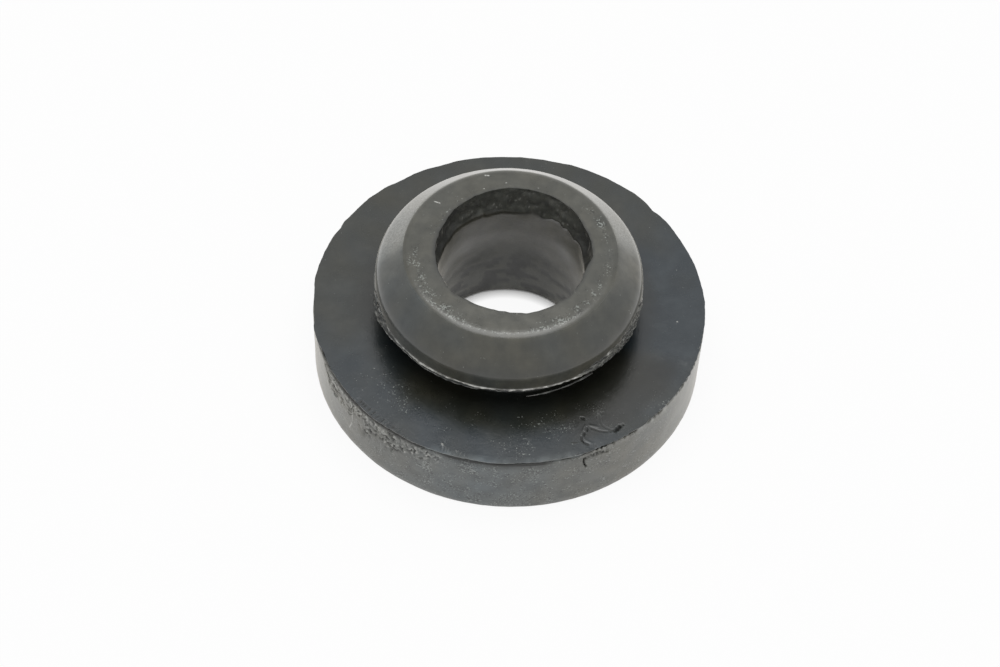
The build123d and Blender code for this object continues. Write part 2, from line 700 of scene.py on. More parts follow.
@dataclass
class UsedBore:
    """The bore's wall: out of round at the waist, with dark swirls lower down."""

    section: Section
    squeeze: float = 0.16
    squeeze_turn: float = 0.7
    filmed_sides: tuple[Stretch, ...] = (Stretch(136.0, 196.0, 18.0), Stretch(344.0, 404.0, 18.0))
    smooth_levels: tuple[float, float] = (6.2, 10.4)
    stained_levels: tuple[float, float] = (4.6, 6.8)

    def shape(self, place: Place) -> None:
        """Bends the wall in long waves and marks its bloom.

        Args:
            place: the place that is worked.
        """
        if place.zone is not Zone.BORE:
            return
        section = self.section
        waist = ease(section.waist_top - section.waist_length - 3.0, section.waist_top - 1.0, place.level)
        turn = math.radians(place.azimuth)
        place.outward += self.squeeze * waist * math.cos(2.0 * (turn - self.squeeze_turn))
        place.outward += 0.05 * place.grain(3.0, 61.0)
        smooth = ease(*self.smooth_levels, place.level + 0.8 * place.grain(2.2, 62.0))
        low = fade(*self.stained_levels, place.level + 0.8 * place.grain(2.6, 64.0))
        swirl = Vector((turn * 2.6 + place.level * 0.3, place.level * 0.62 - turn * 0.6, 3.0))
        wave = noise.noise(swirl) + 0.5 * noise.noise(swirl * 2.1)
        place.outward += (0.03 + 0.05 * (1.0 - smooth)) * wave
        blot = ease(0.02, 0.12, wave) * (0.25 * (1.0 - smooth) + 0.75 * low)
        sides = place.on(*self.filmed_sides)
        place.bloom_and_highlight = 0.52 + 0.05 * smooth + 0.4 * sides * (1.0 - smooth) - 0.45 * blot
        place.bloom_and_highlight += 0.2 * place.grain(1.0, 63.0)
        place.darken(0.95 * blot)
        place.tone = 0.5 + 0.5 * smooth
        place.rough = 0.8 - 0.4 * smooth


@dataclass
class FlangeSkin:
    """The flange's faces: a dark dusty top, and a grey side wall with its scuffs."""

    section: Section
    top_tone: Contour = Contour((
        (0.0, -0.9), (25.0, -0.8), (45.0, 0.2), (120.0, 0.6), (150.0, 0.6), (190.0, 0.5), (205.0, -0.5),
        (225.0, -0.8), (240.0, -0.5), (265.0, -0.8), (288.0, -0.5), (305.0, -0.2), (328.0, -0.1),
        (340.0, -1.0),
    ))
    wall_tone: Contour = Contour((
        (0.0, 0.2), (190.0, 0.4), (215.0, 0.6), (240.0, 0.1), (262.0, -0.7), (285.0, 0.1), (310.0, 0.7),
        (345.0, 0.1),
    ))
    dark_right: Stretch = Stretch(298.0, 334.0, 10.0)
    warm_front: Stretch = Stretch(228.0, 330.0, 14.0)
    dusty_front: Stretch = Stretch(212.0, 328.0, 14.0)
    drifts: tuple[tuple[Stretch, float], ...] = (
        (Stretch(214.0, 236.0, 7.0), 16.2),
        (Stretch(276.0, 290.0, 7.0), 15.2),
        (Stretch(290.0, 310.0, 7.0), 15.4),
    )
    wiped: Stretch = Stretch(296.5, 301.0, 1.0)
    light_brink: Stretch = Stretch(252.0, 290.0, 4.0)
    scuffed: Stretch = Stretch(209.0, 249.0, 7.0)
    deep_scuffs: Stretch = Stretch(221.0, 230.0, 4.0)

    def shape(self, place: Place) -> None:
        """Waves the faces slightly, and marks film, dust and scuffs.

        Args:
            place: the place that is worked.
        """
        if place.zone in (Zone.TOP, Zone.LIP):
            self._top(place)
        elif place.zone is Zone.WALL:
            self._wall(place)
        elif place.zone is Zone.UNDERSIDE:
            place.bloom_and_highlight, place.rough, place.dust = 0.55, 0.5, 0.3
        elif place.zone is Zone.NECK:
            # The neck, deep under the head, is darkened as painted shade.
            place.grime, place.rough = 0.6, 0.4

    def _top(self, place: Place) -> None:
        """Marks the top, with painted shade round the neck and dust at the front.

        Args:
            place: a place on the top or the lip.
        """
        section = self.section
        place.upward += 0.03 * (place.grain(5.0, 81.0) - 1.0) + 0.008 * place.grain(0.9, 86.0)
        near = fade(section.head_radius + 0.2, section.head_radius + 2.6, place.radius)
        right = place.on(self.dark_right) * fade(17.8, 19.0, place.radius)
        place.bloom_and_highlight = 0.04 + 0.09 * place.grain(2.4, 87.0) + 0.06 * place.grain(0.8, 78.0)
        # Painted shade darkens the top close round the head, under the barb's overhang; the darker stretch on
        # the right is the rubber's own.
        place.darken(0.45 * near, 0.75 * right)
        place.rough = 0.22
        inner = place.on(self.warm_front) * fade(14.8, 17.2, place.radius)
        place.tone = self.top_tone.at(place.azimuth) + 1.2 * inner + 0.8 * place.grain(3.0, 88.0)
        front = place.on(self.dusty_front) * ease(13.2, 14.6, place.radius)
        place.dust = front * max(0.0, 0.25 + 0.5 * place.grain(2.2, 89.0))
        for stretch, middle in self.drifts:
            drift = place.on(stretch) * fade(0.4, 1.8, abs(place.radius - middle))
            place.dust += 0.3 * drift * (1.0 + place.grain(1.1, 79.0))
        place.dust *= 1.0 - place.on(self.wiped) * ease(16.8, 17.2, place.radius)
        brink = ease(section.flange_radius - 0.5, section.flange_radius - 0.25, place.radius)
        place.bloom_and_highlight += 0.6 * brink * place.on(self.light_brink) * (1.0 + 0.8 * place.grain(0.7, 80.0))

    def _wall(self, place: Place) -> None:
        """Marks the side wall, with a scuffed patch under the lip on the left.

        Args:
            place: a place on the wall.
        """
        place.outward += 0.03 * place.grain(4.0, 82.0) + 0.02 * place.grain(0.7, 90.0)
        place.bloom_and_highlight = 0.9 + 0.35 * place.grain(1.6, 92.0)
        place.rough = 0.42
        place.tone = self.wall_tone.at(place.azimuth) + 0.5 * place.grain(2.2, 93.0)
        place.dust = 0.72 + 0.5 * place.grain(1.3, 98.0)
        worn = self._scuffs(place)
        if worn <= 0.0:
            return
        brink = ease(self.section.lip_foot - 1.5, self.section.lip_foot - 0.4, place.level)
        crease = fade(0.04, 0.22, abs(place.grain(0.5, 83.0)))
        crease *= ease(0.0, 0.3, place.grain(0.45, 99.0) + 0.2)
        curl = fade(0.04, 0.2, abs(place.grain(0.42, 95.0))) * (1.0 - crease)
        curl *= ease(-0.25, 0.1, place.grain(0.6, 84.0) + 0.3 * brink)
        place.outward += worn * (0.06 * place.grain(0.3, 94.0) - 0.14 * crease + 0.05 * curl)
        place.darken(worn * crease)
        place.lighten(worn * (0.1 + 0.75 * curl + 0.15 * brink) * (1.0 - crease))
        place.rough += 0.3 * worn
        place.dust *= 1.0 - worn

    def _scuffs(self, place: Place) -> float:
        """Finds how scuffed the wall is.

        Args:
            place: a place on the wall.

        Returns:
            The wear, from 0 to 1.
        """
        where = place.on(self.scuffed)
        if where <= 0.0:
            return 0.0
        low = 2.0 + 0.8 * place.on(self.deep_scuffs)
        reach = self.section.lip_foot - (low + 2.6 * place.grain(1.5, 85.0)) * where
        patchy = 0.9 + 1.3 * place.grain(0.8, 96.0)
        return where * min(1.0, max(0.0, patchy)) * ease(reach - 0.7, reach + 0.2, place.level)


@dataclass
class TrimmedLip:
    """The flash round the flange's upper edge, cut back with a knife.

    Under the cut a crack is left between the lip and the side wall, with painted shade in and under it.
    """

    section: Section
    line: Contour = Contour((
        (0.0, -0.13), (35.0, -0.13), (40.5, -0.15), (43.0, -0.32), (45.5, -0.1), (49.0, 0.04), (73.0, 0.04),
        (79.0, -0.13), (129.0, -0.14), (133.0, 0.0), (151.0, 0.0), (153.5, -0.12), (157.0, 0.03),
        (174.0, 0.02), (178.0, -0.18), (190.0, -0.18), (192.0, -0.03), (198.0, -0.03), (202.0, -0.22),
        (213.0, -0.2), (226.0, -0.15), (262.0, -0.14), (290.0, -0.16), (345.0, -0.15),
    ))
    crack: Contour = Contour((
        (0.0, 0.1), (190.0, 0.1), (205.0, 0.4), (214.0, 0.8), (246.0, 1.0), (248.5, 0.0), (251.0, 0.2),
        (255.0, 1.0), (282.0, 1.0), (285.0, 0.2), (292.5, 0.0), (294.0, 0.3), (298.0, 0.3), (299.5, 0.9),
        (346.0, 0.9), (352.0, 0.1),
    ))
    chattered: Stretch = Stretch(298.0, 350.0, 5.0)
    bare_face: Stretch = Stretch(252.0, 287.0, 4.0)
    closed: tuple[Stretch, ...] = (Stretch(286.0, 293.0, 1.5), Stretch(248.0, 251.0, 1.5))
    crack_groove: float = 0.06
    cuts: KnifeRound = field(init=False)
    teeth: KnifeRound = field(init=False)

    def __post_init__(self) -> None:
        """Sets out the knife's cuts, and the fine teeth where it chattered."""
        self.cuts = KnifeRound(self.section.flange_radius, shortest=0.8, longest=2.4, depth=0.1, seed=11)
        self.teeth = KnifeRound(self.section.flange_radius, shortest=0.2, longest=0.36, depth=0.3, seed=5)

    def shape(self, place: Place) -> None:
        """Moves the lip out to the knife's line and roughens its cut face.

        Args:
            place: the place that is worked.
        """
        section = self.section
        if place.zone not in (Zone.TOP, Zone.LIP, Zone.WALL):
            return
        hold = ease(section.flange_radius - 0.8, section.flange_radius - 0.15, place.radius)
        hold *= ease(section.lip_foot - 0.1, section.lip_foot + 0.1, place.level)
        chatter = place.on(self.chattered)
        if hold > 0.0:
            shift = self.line.at(place.azimuth) + self.cuts.shift(place.azimuth)
            place.outward += hold * (shift + (0.1 + 0.3 * chatter) * self.teeth.shift(place.azimuth))
        open_share = min(1.0, max(0.0, self.crack.at(place.azimuth) + 0.4 * place.grain(1.2, 37.0)))
        if place.zone is Zone.LIP:
            self._cut_face(place, chatter, open_share)
        elif place.zone is Zone.WALL and place.level > section.lip_foot - 0.5:
            self._wall_brink(place, chatter, open_share)

    def _cut_face(self, place: Place, chatter: float, open_share: float) -> None:
        """Roughens the cut face, and closes the crack under it where it isn't open.

        Args:
            place: a place on the lip.
            chatter: how much the knife chattered here.
            open_share: how far the crack is open here.
        """
        section = self.section
        foot = ease(section.flange_thickness, section.lip_foot, place.level)
        face = ease(section.lip_foot + 0.2, section.lip_foot + 0.24, place.level)
        place.upward += foot * (0.08 * place.grain(1.7, 31.0) + 0.05 * place.grain(0.5, 32.0))
        depth = max(0.0, section.wall_radius - place.radius)
        place.outward += (1.0 - open_share) * depth + 0.03 * place.grain(0.3, 33.0)
        bare = max(place.on(self.bare_face) * face, place.on(*self.closed))
        place.bloom_and_highlight, place.rough, place.dust = 1.3 * bare, 0.5, 0.0
        # The cut face is dark as raw cut rubber, and darker towards an open crack below and where the knife
        # chattered, as painted shade of the crack.
        place.darken((0.5 + 0.5 * foot * open_share + 0.5 * chatter) * (1.0 - bare))

    def _wall_brink(self, place: Place, chatter: float, open_share: float) -> None:
        """Darkens the wall under an open crack with a shallow groove and painted shade, and chips it where
        the knife chattered.

        Args:
            place: a place on the wall, close under the lip.
            chatter: how much the knife chattered here.
            open_share: how far the crack is open here.
        """
        section = self.section
        tooth = chatter * self.teeth.shift(place.azimuth)
        brink = ease(section.lip_foot - 0.4, section.lip_foot - 0.05, place.level)
        # Painted shade: the wall is darkened right under an open crack.
        dark = open_share * (1.0 - chatter) * fade(0.14, 0.3, section.lip_foot - place.level)
        place.outward -= self.crack_groove * dark
        place.upward += brink * (0.06 * place.grain(1.3, 34.0) + 0.1 * chatter + 1.1 * tooth)
        place.darken(0.95 * dark)
        chipped = 0.12 + 0.2 * chatter + 2.5 * tooth + 0.4 * place.grain(0.6, 36.0)
        place.lighten(brink * chipped * (1.0 - dark))


class Side(Enum):
    """Faces that a single mark can lie on."""

    TOP = Zone.TOP
    LIP = Zone.LIP
    WALL = Zone.WALL
    RING = Zone.RING
    BARB = Zone.BARB


@dataclass
class Score:
    """A cut, crease, fibre or fleck along a path on one face.

    The path's points are (azimuth, radius) on the level faces and (azimuth, level) on
    the upright ones. A positive depth is cut in and a negative one stands out. A cut
    that is deeper than it is wide has steep sides, and looks dark. The darkening
    weight also colours the core of a cut dark, as painted shade inside it.
    """

    section: Section
    side: Side
    path: tuple[tuple[float, float], ...]
    width: float
    depth: float
    grime: float = 0.0
    pale: float = 0.0
    line: list[Vector] = field(init=False)
    middle: Vector = field(init=False)
    reach: float = field(init=False)

    def __post_init__(self) -> None:
        """Lays the path out flat in mm."""
        self.line = [self._flat(*point) for point in self.path]
        self.middle = sum(self.line, Vector((0.0, 0.0))) / len(self.line)
        self.reach = max((point - self.middle).length for point in self.line) + 3.0 * self.width + 0.8

    @property
    def level_face(self) -> bool:
        """Whether the mark lies on a level face."""
        return self.side in (Side.TOP, Side.RING)

    def _flat(self, azimuth: float, across: float) -> Vector:
        """Lays a point of the face out flat.

        Args:
            azimuth: the point's angle.
            across: its radius on a level face, and its level on an upright one.

        Returns:
            The point in mm.
        """
        turn = math.radians(azimuth)
        if self.level_face:
            return Vector((across * math.cos(turn), across * math.sin(turn)))
        radius = self.section.head_radius if self.side is Side.BARB else self.section.wall_radius
        return Vector((turn * radius, across))

    def gap(self, place: Place) -> float:
        """Measures how far a place is from the path.

        Args:
            place: a place on the mark's face.

        Returns:
            The distance in mm, or infinity where the place is well away.
        """
        spot = self._flat(place.azimuth, place.radius if self.level_face else place.level)
        if (spot - self.middle).length > self.reach:
            return math.inf
        best = math.inf
        for start, end in zip(self.line, self.line[1:]):
            nearest, share = intersect_point_line(spot, start, end)
            nearest = start if share < 0.0 else end if share > 1.0 else nearest
            best = min(best, (spot - nearest).length)
        return best

    def near(self, place: Place, margin: float) -> bool:
        """Tells whether a place is within the mark, with a margin in mm."""
        return place.zone is self.side.value and self.gap(place) < 2.5 * self.width + margin

    def shape(self, place: Place) -> None:
        """Presses the groove in or raises the ridge, and marks it.

        Args:
            place: the place that is worked.
        """
        if place.zone is not self.side.value:
            return
        gap = self.gap(place)
        if gap > 3.0 * self.width:
            return
        brink = 0.45 * self.width if self.depth > self.width else 0.0
        lift = -self.depth * fade(brink, self.width, gap) * (1.0 + 0.6 * place.grain(0.5, 91.0))
        if self.level_face:
            place.upward += lift
        else:
            place.outward += lift
        core = fade(0.3 * self.width, 1.1 * self.width, gap)
        place.darken(self.grime * core)
        place.roughen(self.grime * fade(self.width, 1.9 * self.width, gap))
        place.dust *= 1.0 - self.grime * core
        place.grime *= 1.0 - self.pale * core
        place.lighten(self.pale * core)


def spin_round(
    mesh: bmesh.types.BMesh,
    geom: list[bmesh.types.BMVert | bmesh.types.BMEdge | bmesh.types.BMFace],
    angle: float,
    steps: int,
    rise: float = 0.0,
) -> None:
    """Spins part of a mesh about the moulding's axis.

    Args:
        mesh: the mesh.
        geom: the vertices, edges and faces that are spun.
        angle: how far they turn, in radians.
        steps: how many steps the turn has.
        rise: how far each step rises, in metres.
    """
    bmesh.ops.spin(
        mesh,
        geom=geom,
        cent=(0.0, 0.0, 0.0),
        axis=(0.0, 0.0, 1.0),
        dvec=(0.0, 0.0, rise),
        angle=angle,
        space=Matrix.Identity(4),
        steps=steps,
        use_merge=False,
        use_normal_flip=False,
        use_duplicate=False,
    )


class Moulding:
    """The cushion's mesh, spun from its section and then worked."""

    TURN_STEPS = 384

    def __init__(self, section: Section) -> None:
        """Keeps the section and starts an empty mesh."""
        self.section = section
        self.mesh = bmesh.new()

    def spin(self) -> None:
        """Draws the half section as a wire, rounds and divides it, and spins it."""
        corners = self.section.corners()
        verts = [self.mesh.verts.new((corner.radius * MM, 0.0, corner.level * MM)) for corner in corners]
        places = [vert.co.copy() for vert in verts]
        runs = list(zip(places, places[1:] + places[:1]))
        for index in range(len(verts)):
            self.mesh.edges.new((verts[index - 1], verts[index]))
        for index, corner in enumerate(corners):
            if corner.rounding:
                self._round(verts[index], corners[index - 1], corner, corners[(index + 1) % len(corners)])
        for edge in self.mesh.edges[:]:
            middle = (edge.verts[0].co + edge.verts[1].co) / 2
            gaps = [self._gap(middle, start, end) for start, end in runs]
            pitch = corners[gaps.index(min(gaps))].pitch
            cuts = round(edge.calc_length() / (pitch * MM)) - 1
            if cuts > 0:
                bmesh.ops.subdivide_edges(self.mesh, edges=[edge], cuts=cuts)
        self._turn()
        bmesh.ops.recalc_face_normals(self.mesh, faces=self.mesh.faces[:])

    def _turn(self) -> None:
        """Spins the wire through an eighth of a turn, and doubles that to a full ring."""
        wire = self.mesh.verts[:] + self.mesh.edges[:]
        spin_round(self.mesh, wire, math.tau / 8, self.TURN_STEPS // 8)
        for turn in (math.tau / 8, math.tau / 4, math.tau / 2):
            whole = self.mesh.verts[:] + self.mesh.edges[:] + self.mesh.faces[:]
            copied = bmesh.ops.duplicate(self.mesh, geom=whole)["geom"]
            verts = [item for item in copied if isinstance(item, bmesh.types.BMVert)]
            matrix = Matrix.Rotation(turn, 3, "Z")
            bmesh.ops.rotate(self.mesh, cent=(0.0, 0.0, 0.0), matrix=matrix, verts=verts)
        bmesh.ops.remove_doubles(self.mesh, verts=self.mesh.verts[:], dist=0.0001 * MM)

    @staticmethod
    def _gap(point: Vector, start: Vector, end: Vector) -> float:
        """Measures how far a point lies from the straight run between two others."""
        nearest, share = intersect_point_line(point, start, end)
        return (point - nearest).length if 0.0 <= share <= 1.0 else math.inf

    def _round(self, vert: bmesh.types.BMVert, before: Corner, here: Corner, after: Corner) -> None:
        """Rounds one corner of the wire with an arc of the corner's own radius.

        Args:
            vert: the corner's vertex.
            before: the corner before it.
            here: the corner.
            after: the corner after it.
        """
        arriving = Vector((here.radius - before.radius, here.level - before.level))
        leaving = Vector((after.radius - here.radius, after.level - here.level))
        tangent = here.rounding * math.tan(arriving.angle(leaving) / 2)
        bmesh.ops.bevel(
            self.mesh,
            geom=[vert],
            offset=tangent * MM,
            offset_type="OFFSET",
            segments=here.steps,
            profile=0.5,
            affect="VERTICES",
            material=-1,
        )

    def _place(self, point: Vector) -> Place:
        """Finds where a point lies on the untouched section.

        Args:
            point: the point, in metres.

        Returns:
            Its place, without any marks.
        """
        radius, level = math.hypot(point.x, point.y) / MM, point.z / MM
        azimuth = math.degrees(math.atan2(point.y, point.x)) % 360.0
        return Place(azimuth, radius, level, self.section.zone(radius, level))

    def refine(self, inside: Callable[[Place], bool], finest: float, passes: int = 1) -> None:
        """Halves the long edges of a region, once or more.

        Args:
            inside: tells whether a place is in the region.
            finest: edges shorter than this, in mm, are left alone.
            passes: how many times to go over it.
        """
        for _ in range(passes):
            chosen = {vert for vert in self.mesh.verts if inside(self._place(vert.co))}
            edges = [
                edge
                for edge in self.mesh.edges
                if edge.verts[0] in chosen and edge.verts[1] in chosen and edge.calc_length() > finest * MM
            ]
            bmesh.ops.subdivide_edges(self.mesh, edges=edges, cuts=1, use_grid_fill=True)

    def crease(self) -> None:
        """Keeps the section's crisp corners as sharp edges all round."""
        crisp = [corner for corner in self.section.corners() if corner.crisp]
        marked = set()
        for vert in self.mesh.verts:
            radius, level = math.hypot(vert.co.x, vert.co.y) / MM, vert.co.z / MM
            if any(math.hypot(radius - corner.radius, level - corner.level) < 0.005 for corner in crisp):
                marked.add(vert)
        for edge in self.mesh.edges:
            edge.smooth = not (edge.verts[0] in marked and edge.verts[1] in marked)

    def work(self, works: list[Work]) -> None:
        """Goes over every place of the mesh with each work, and keeps the marks.

        Args:
            works: what is done to the moulding, in order.
        """
        layers = [self.mesh.verts.layers.float.new(name) for name in MARKS]
        for vert in self.mesh.verts:
            place = self._place(vert.co)
            for item in works:
                item.shape(place)
            turn = math.radians(place.azimuth)
            reach = place.radius + place.outward
            level = place.level + place.upward
            vert.co = Vector((reach * math.cos(turn), reach * math.sin(turn), level)) * MM
            for name, layer in zip(MARKS, layers):
                vert[layer] = getattr(place, name)
        bmesh.ops.recalc_face_normals(self.mesh, faces=self.mesh.faces[:])

    def to_object(self, name: str) -> bpy.types.Object:
        """Writes the mesh to an object at the origin, shaded smooth.

        Args:
            name: the object's name.

        Returns:
            The object, linked to the scene.
        """
        data = bpy.data.meshes.new(name)
        for face in self.mesh.faces:
            face.smooth = True
        self.mesh.to_mesh(data)
        self.mesh.free()
        piece = bpy.data.objects.new(name, data)
        bpy.context.scene.collection.objects.link(piece)
        return piece


@dataclass
class Shred:
    """A thread of torn flash that hangs below the barb and joins its torn film."""

    section: Section
    start: float = 279.0
    end: float = 309.0
    start_drop: float = 1.2
    end_drop: float = 0.5
    reach: float = 0.1
    thickness: float = 0.13
    thinnest: float = 0.15
    sway: float = 0.16
    steps: int = 40

    def build(self, mesh: bmesh.types.BMesh) -> None:
        """Adds the thread to the moulding.

        Args:
            mesh: the moulding's worked mesh, with its marks.
        """
        thread = self._spin(mesh)
        self._fray(mesh, thread)
        bmesh.ops.recalc_face_normals(mesh, faces=list({face for vert in thread for face in vert.link_faces}))

    def _spin(self, mesh: bmesh.types.BMesh) -> list[bmesh.types.BMVert]:
        """Spins a small six-sided ring along the thread's way, rising to the film.

        Args:
            mesh: the mesh that it is spun in.

        Returns:
            The thread's vertices.
        """
        section = self.section
        radius = self.thickness / 2 * MM
        ring = bmesh.ops.create_circle(mesh, cap_ends=True, segments=6, radius=radius)["verts"]
        place = Vector((section.head_radius + self.reach, 0.0, section.barb_foot - self.start_drop)) * MM
        turn = Matrix.Rotation(math.radians(self.start), 4, "Z")
        upright = Matrix.Rotation(math.pi / 2, 4, "X")
        bmesh.ops.transform(mesh, matrix=turn @ Matrix.Translation(place) @ upright, verts=ring)
        faces = list({face for vert in ring for face in vert.link_faces})
        edges = list({edge for vert in ring for edge in vert.link_edges})
        known = set(mesh.verts) - set(ring)
        rise = (self.start_drop - self.end_drop) / self.steps * MM
        spin_round(mesh, faces + ring + edges, math.radians(self.end - self.start), self.steps, rise)
        return [vert for vert in mesh.verts if vert not in known]

    def _fray(self, mesh: bmesh.types.BMesh, thread: list[bmesh.types.BMVert]) -> None:
        """Thins the thread to its free end, makes it uneven and marks it.

        Args:
            mesh: the mesh that holds the thread.
            thread: the thread's vertices.
        """
        section = self.section
        layers = {name: mesh.verts.layers.float[name] for name in MARKS}
        for vert in thread:
            azimuth = math.degrees(math.atan2(vert.co.y, vert.co.x)) % 360.0
            share = (azimuth - self.start) / (self.end - self.start)
            level = (section.barb_foot - self.start_drop + share * (self.start_drop - self.end_drop)) * MM
            middle = Vector((vert.co.x, vert.co.y)).normalized() * (section.head_radius + self.reach) * MM
            centre = Vector((middle.x, middle.y, level))
            waver = noise.noise(vert.co / (0.4 * MM))
            waver += 1.2 * noise.noise(centre / (1.2 * MM) + Vector((7.0, 0.0, 0.0)))
            thinned = self.thinnest + (1.0 - self.thinnest) * ease(-0.05, 0.35, share)
            vert.co = centre + (vert.co - centre) * thinned * (1.0 + 0.5 * waver)
            vert.co.z += self.sway * MM * noise.noise(centre / (1.1 * MM))
            dim = ease(0.25, 0.5, share)
            vert[layers["pale"]] = 0.3 - 0.35 * dim + 1.2 * noise.noise(centre / (0.7 * MM))
            vert[layers["grime"]] = dim * (0.55 + 0.8 * noise.noise(centre / (0.5 * MM)))
            vert[layers["bloom_and_highlight"]], vert[layers["rough"]] = 0.3, 0.6


def flange_scores(section: Section) -> list[Score]:
    """Lists the cuts, creases and fibres on the flange.

    Args:
        section: the moulding's half section.

    Returns:
        The marks, in the order in which they are worked.
    """
    # Each mark has its face, its path, its width and its depth.
    # Cuts are coloured dark in their cores, as painted shade inside them.
    cut = partial(Score, section, grime=1.0)
    ridge = partial(Score, section)
    flake_front = ((295.5, 17.9), (294.9, 18.26), (295.2, 18.63), (296.8, 19.25), (298.2, 19.52))
    flake_curl = ((295.8, 17.95), (296.2, 18.5), (297.4, 19.0), (298.5, 19.32))
    flake_back = ((299.6, 17.25), (301.6, 18.0), (303.6, 18.5), (305.1, 18.62))
    crescent = ((304.9, 16.3), (303.7, 17.0), (303.5, 17.5), (304.2, 18.1), (305.4, 18.6))
    left_crack = ((204.9, 7.0), (206.4, 6.4), (207.9, 5.8), (210.6, 5.5), (213.3, 5.9))
    wall_crack = [
        cut(Side.WALL, ((294.8, 5.35), (294.2, 5.9), (293.9, 6.45), (294.0, 6.8)), 0.12, 0.2),
        cut(Side.WALL, ((294.0, 6.8), (294.8, 6.9), (296.2, 6.97), (298.0, 7.08)), 0.17, 0.32),
        cut(Side.WALL, ((299.2, 7.0), (299.9, 6.9)), 0.16, 0.2),
        cut(Side.WALL, ((300.7, 6.85), (301.4, 6.6)), 0.16, 0.2),
    ]
    flake = [
        cut(Side.TOP, flake_front, 0.1, 0.16),
        ridge(Side.TOP, flake_curl, 0.26, -0.02, pale=0.02),
        ridge(Side.TOP, ((298.4, 16.85), (296.1, 17.5)), 0.14, -0.02, pale=0.06),
        cut(Side.TOP, ((298.6, 17.15), (298.1, 17.35)), 0.1, 0.2),
        cut(Side.TOP, ((297.0, 17.55), (296.3, 17.8)), 0.1, 0.2),
        ridge(Side.TOP, ((300.1, 17.0), (301.9, 17.5)), 0.2, -0.015, pale=0.02),
        cut(Side.TOP, flake_back, 0.08, 0.07),
        cut(Side.TOP, crescent, 0.12, 0.04, grime=0.8),
        cut(Side.TOP, ((305.6, 18.78), (306.9, 18.7), (308.0, 18.59)), 0.17, 0.6),
        cut(Side.TOP, ((308.0, 18.59), (309.3, 18.56)), 0.08, 0.1),
        cut(Side.LIP, ((297.8, 7.8), (300.4, 7.8)), 0.22, 0.26),
        cut(Side.TOP, ((298.8, 15.9), (299.4, 16.0)), 0.15, 0.5),
        cut(Side.TOP, ((291.8, 18.22), (293.2, 18.39)), 0.12, 0.0),
    ]
    folds = [
        cut(Side.TOP, ((222.0, 19.4), (226.0, 19.42), (230.5, 19.5)), 0.12, 0.16),
        cut(Side.TOP, ((231.5, 19.45), (235.0, 19.5), (238.5, 19.6)), 0.12, 0.2),
        ridge(Side.TOP, ((251.7, 18.8), (252.2, 18.9)), 0.1, -0.03, pale=0.8),
        ridge(Side.TOP, ((252.4, 18.95), (254.0, 19.15), (256.0, 19.35)), 0.08, -0.01, pale=0.12),
        ridge(Side.TOP, ((255.9, 19.36), (257.8, 19.46)), 0.06, -0.03, pale=0.7),
        cut(Side.TOP, ((256.8, 19.68), (257.6, 19.68)), 0.13, 0.1),
    ]
    left_wall = [
        cut(Side.WALL, left_crack, 0.1, 0.16),
        ridge(Side.WALL, ((204.0, 6.9), (205.6, 6.2), (207.1, 5.6)), 0.1, -0.06, pale=0.6),
        ridge(Side.WALL, ((220.4, 6.9), (220.8, 5.3), (220.9, 4.0), (219.3, 2.4)), 0.1, -0.07, pale=1.0),
    ]
    return wall_crack + flake + folds + left_wall


def specks(section: Section) -> list[Score]:
    """Lists the pale specks of grit and lint that stand out singly.

    Args:
        section: the moulding's half section.

    Returns:
        The specks as short ridges.
    """
    # The face, the angle and the distance of each end, and the width.
    grit = (
        (Side.RING, 106.0, 10.1, 107.8, 10.2, 0.1),
        (Side.RING, 142.8, 9.35, 144.0, 9.9, 0.07),
        (Side.RING, 96.0, 8.86, 96.4, 8.86, 0.06),
        (Side.RING, 111.6, 8.45, 112.0, 8.45, 0.05),
        (Side.RING, 74.4, 8.6, 74.8, 8.6, 0.05),
        (Side.BARB, 314.7, 11.5, 315.2, 11.5, 0.1),
        (Side.TOP, 338.9, 19.1, 341.1, 19.1, 0.05),
        (Side.TOP, 356.0, 17.1, 356.2, 17.1, 0.07),
        (Side.WALL, 278.7, 0.6, 279.0, 0.6, 0.07),
    )
    return [
        Score(section, side, ((start, near), (end, far)), width, -0.03, pale=1.0)
        for side, start, near, end, far, width in grit
    ]


@dataclass(frozen=True)
class Patch:
    """Part of some faces, between two angles and two levels, that is divided finely.

    Edges down to the finest length, in mm, are halved in each pass.
    """

    zones: tuple[Zone, ...]
    angles: tuple[float, float]
    levels: tuple[float, float]
    finest: float
    passes: int = 1

    def holds(self, place: Place) -> bool:
        """Tells whether a place lies in the patch.

        Args:
            place: the place.

        Returns:
            True where it does.
        """
        if place.zone not in self.zones:
            return False
        (start, end), (low, high) = self.angles, self.levels
        return start < place.azimuth < end and low < place.level < high


